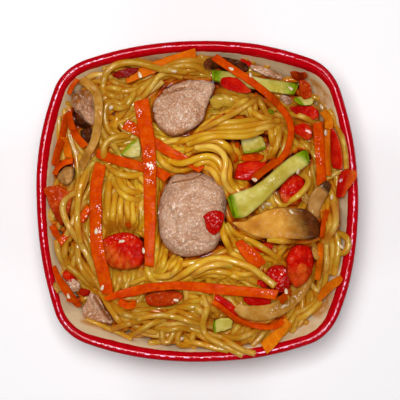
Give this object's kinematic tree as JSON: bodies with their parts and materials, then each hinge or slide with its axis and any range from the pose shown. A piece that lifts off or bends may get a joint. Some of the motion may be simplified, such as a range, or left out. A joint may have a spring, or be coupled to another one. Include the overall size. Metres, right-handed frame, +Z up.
{
  "type": "noodles with turkey and vegetables in a bowl",
  "caption": "Rounded-square ceramic bowl heaped with round yellow noodles, turkey pieces, carrot strips, tomato, zucchini, mushroom and onion; stands on its foot.",
  "frame": {"origin": "on the table under the middle of the bowl's foot", "axes": "+Z up; +X to the right and +Y away in a view from straight above"},
  "size_m": [0.1504, 0.1504, 0.0795],
  "materials": {
    "bowl_glaze": "gloss",
    "noodles": "satin",
    "carrot": "satin",
    "turkey": "satin",
    "tomato": "gloss",
    "pepper": "gloss",
    "zucchini": "satin",
    "mushroom": "satin",
    "mushroom_cap": "satin",
    "onion": "satin",
    "sesame": "satin"
  },
  "bodies": {
    "root": {"bowl": "bowl_glaze", "noodles": "noodles", "turkey_centre": "turkey", "turkey_upper": "turkey", "turkey_left": "turkey", "turkey_bit": "turkey", "turkey_slice": "turkey", "turkey_strip": "turkey", "tomato_left": "tomato", "tomato_mid": "tomato", "tomato_flat": "tomato", "tomato_upper": "tomato", "tomato_crimson": "tomato", "tomato_low": "tomato", "tomato_bit": "tomato", "tomato_bottom": "tomato", "tomato_skin": "tomato", "pepper_upper": "pepper", "pepper_under": "pepper", "tomato_wedge": "pepper", "pepper_dark": "pepper", "tomato_curl": "pepper", "tomato_leaf": "pepper", "pepper_top": "pepper", "pepper_right": "pepper", "tomato_rim": "pepper", "pepper_bottom": "pepper", "zucchini_mid": "zucchini", "zucchini_left": "zucchini", "zucchini_bottom": "zucchini", "zucchini_corner": "zucchini", "zucchini_top": "zucchini", "zucchini_stick": "zucchini", "mushroom_knob": "mushroom", "mushroom_dark_left": "mushroom_cap", "mushroom_dark_top": "mushroom_cap", "mushroom_slab": "mushroom", "mushroom_slice": "mushroom", "onion_pale": "onion", "onion_left": "onion", "onion_right": "onion", "carrot_wall": "carrot", "carrot_m": "carrot", "carrot_n": "carrot", "carrot_l": "carrot", "carrot_i": "carrot", "carrot_h": "carrot", "carrot_c": "carrot", "carrot_d": "carrot", "carrot_a": "carrot", "carrot_b": "carrot", "carrot_g": "carrot", "carrot_f": "carrot", "carrot_u": "carrot", "carrot_w": "carrot", "carrot_x": "carrot", "carrot_e": "carrot", "carrot_j": "carrot"}
  },
  "joints": []
}
